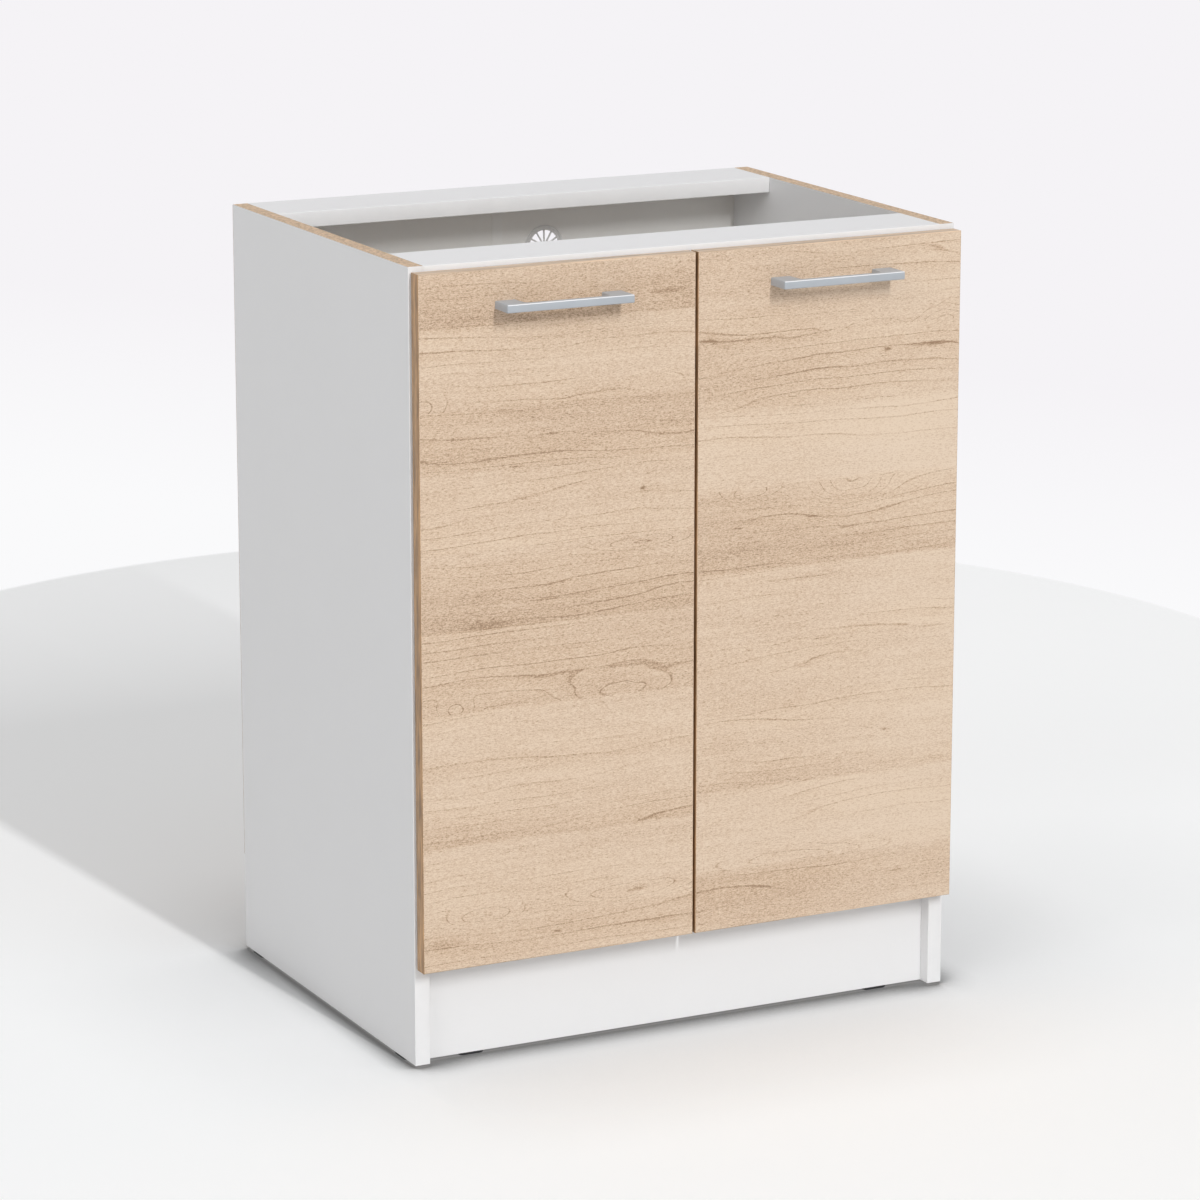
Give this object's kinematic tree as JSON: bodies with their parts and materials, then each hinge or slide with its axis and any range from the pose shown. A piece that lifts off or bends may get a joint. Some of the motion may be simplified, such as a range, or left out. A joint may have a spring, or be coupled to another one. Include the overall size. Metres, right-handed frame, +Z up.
{
  "type": "kitchen base cabinet",
  "caption": "Free-standing kitchen base cabinet with hinged doors, bow handles, a shelf behind them and a recessed plinth.",
  "frame": {"origin": "on the floor under the middle of the cabinet's overall width and depth", "axes": "+Z up; the doors face -Y; +X is to the right of someone who faces the doors"},
  "size_m": [0.6, 0.487, 0.8],
  "materials": {
    "white_board": "white melamine faced chipboard, fine matt grain",
    "beech_board": "beech figure foil on chipboard, silk",
    "hardboard": "thin hardboard, white lacquered inside",
    "white_edge_band": "matt",
    "beech_edge_band": "matt printed grain",
    "white_plastic": "moulded, matt",
    "bumper_rubber": "soft, translucent grey",
    "glide_plastic": "moulded, silk",
    "cam_metal": "cast, dull",
    "bolt_steel": "zinc plated",
    "dowel_wood": "fluted beech, raw",
    "pin_steel": "nickel plated",
    "nail_steel": "bright",
    "screw_steel": "zinc plated",
    "hinge_steel": "nickel plated, pressed",
    "hinge_pin_steel": "bright",
    "handle_paint": "satin aluminium coloured lacquer"
  },
  "bodies": {
    "carcass": {"arm_pins_left": "hinge_pin_steel", "arm_pins_right": "hinge_pin_steel", "arm_screws_left": "screw_steel", "arm_screws_right": "screw_steel", "back_joint_strip": "white_plastic", "back_panel_left": "hardboard", "back_panel_nails": "nail_steel", "back_panel_right": "hardboard", "bottom_panel": "white_board", "cam_bolts": "bolt_steel", "cam_locks": "cam_metal", "carcass_edge_bands": "white_edge_band", "floor_glides": "glide_plastic", "glide_nails": "nail_steel", "hinge_arm_left_lower": "hinge_steel", "hinge_arm_left_upper": "hinge_steel", "hinge_arm_right_lower": "hinge_steel", "hinge_arm_right_upper": "hinge_steel", "mounting_plate_left_lower": "hinge_steel", "mounting_plate_left_upper": "hinge_steel", "mounting_plate_right_lower": "hinge_steel", "mounting_plate_right_upper": "hinge_steel", "plate_screws_left": "screw_steel", "plate_screws_right": "screw_steel", "plinth_board": "white_board", "shelf": "white_board", "shelf_pins": "pin_steel", "side_panel_left": "white_board", "side_panel_right": "white_board", "top_rail_front": "white_board", "top_rail_rear": "white_board", "vent_rosette": "white_plastic", "wooden_dowels": "dowel_wood"},
    "left_inner_links": {"short_link_left_lower": "hinge_steel", "short_link_left_upper": "hinge_steel"},
    "left_outer_links": {"long_link_left_lower": "hinge_steel", "long_link_left_upper": "hinge_steel"},
    "left_door": {"cup_pins_left": "hinge_pin_steel", "cup_screws_left": "screw_steel", "door_bumpers_left": "bumper_rubber", "door_edge_bands_left": "beech_edge_band", "door_panel_left": "beech_board", "handle_left": "handle_paint", "handle_screws_left": "screw_steel", "hinge_cup_left_lower": "hinge_steel", "hinge_cup_left_upper": "hinge_steel"},
    "right_inner_links": {"short_link_right_lower": "hinge_steel", "short_link_right_upper": "hinge_steel"},
    "right_outer_links": {"long_link_right_lower": "hinge_steel", "long_link_right_upper": "hinge_steel"},
    "right_door": {"cup_pins_right": "hinge_pin_steel", "cup_screws_right": "screw_steel", "door_bumpers_right": "bumper_rubber", "door_edge_bands_right": "beech_edge_band", "door_panel_right": "beech_board", "handle_right": "handle_paint", "handle_screws_right": "screw_steel", "hinge_cup_right_lower": "hinge_steel", "hinge_cup_right_upper": "hinge_steel"}
  },
  "joints": [
    {"name": "left_inner_link_turn", "type": "hinge", "parent": "carcass", "child": "left_inner_links", "pos_m": [-0.27424, -0.1895, 0.44875], "axis": [0, 0, 1], "range_deg": [0, 36.7]},
    {"name": "left_outer_link_turn", "type": "hinge", "parent": "carcass", "child": "left_outer_links", "pos_m": [-0.26426, -0.18373, 0.44875], "axis": [0, 0, 1], "range_deg": [0, 31.4]},
    {"name": "left_door_swing", "type": "hinge", "parent": "left_inner_links", "child": "left_door", "pos_m": [-0.2897, -0.2036, 0.44875], "axis": [0, 0, -1], "range_deg": [0, 131.67]},
    {"name": "right_inner_link_turn", "type": "hinge", "parent": "carcass", "child": "right_inner_links", "pos_m": [0.27424, -0.1895, 0.44875], "axis": [0, 0, -1], "range_deg": [0, 36.7]},
    {"name": "right_outer_link_turn", "type": "hinge", "parent": "carcass", "child": "right_outer_links", "pos_m": [0.26426, -0.18373, 0.44875], "axis": [0, 0, -1], "range_deg": [0, 31.4]},
    {"name": "right_door_swing", "type": "hinge", "parent": "right_inner_links", "child": "right_door", "pos_m": [0.2897, -0.2036, 0.44875], "axis": [0, 0, 1], "range_deg": [0, 131.67]}
  ],
  "couplings": [
    {"joint": "left_inner_link_turn", "follows": "left_door_swing", "ratio": 0.2785},
    {"joint": "left_outer_link_turn", "follows": "left_door_swing", "ratio": 0.2381},
    {"joint": "right_inner_link_turn", "follows": "right_door_swing", "ratio": 0.2785},
    {"joint": "right_outer_link_turn", "follows": "right_door_swing", "ratio": 0.2381}
  ]
}
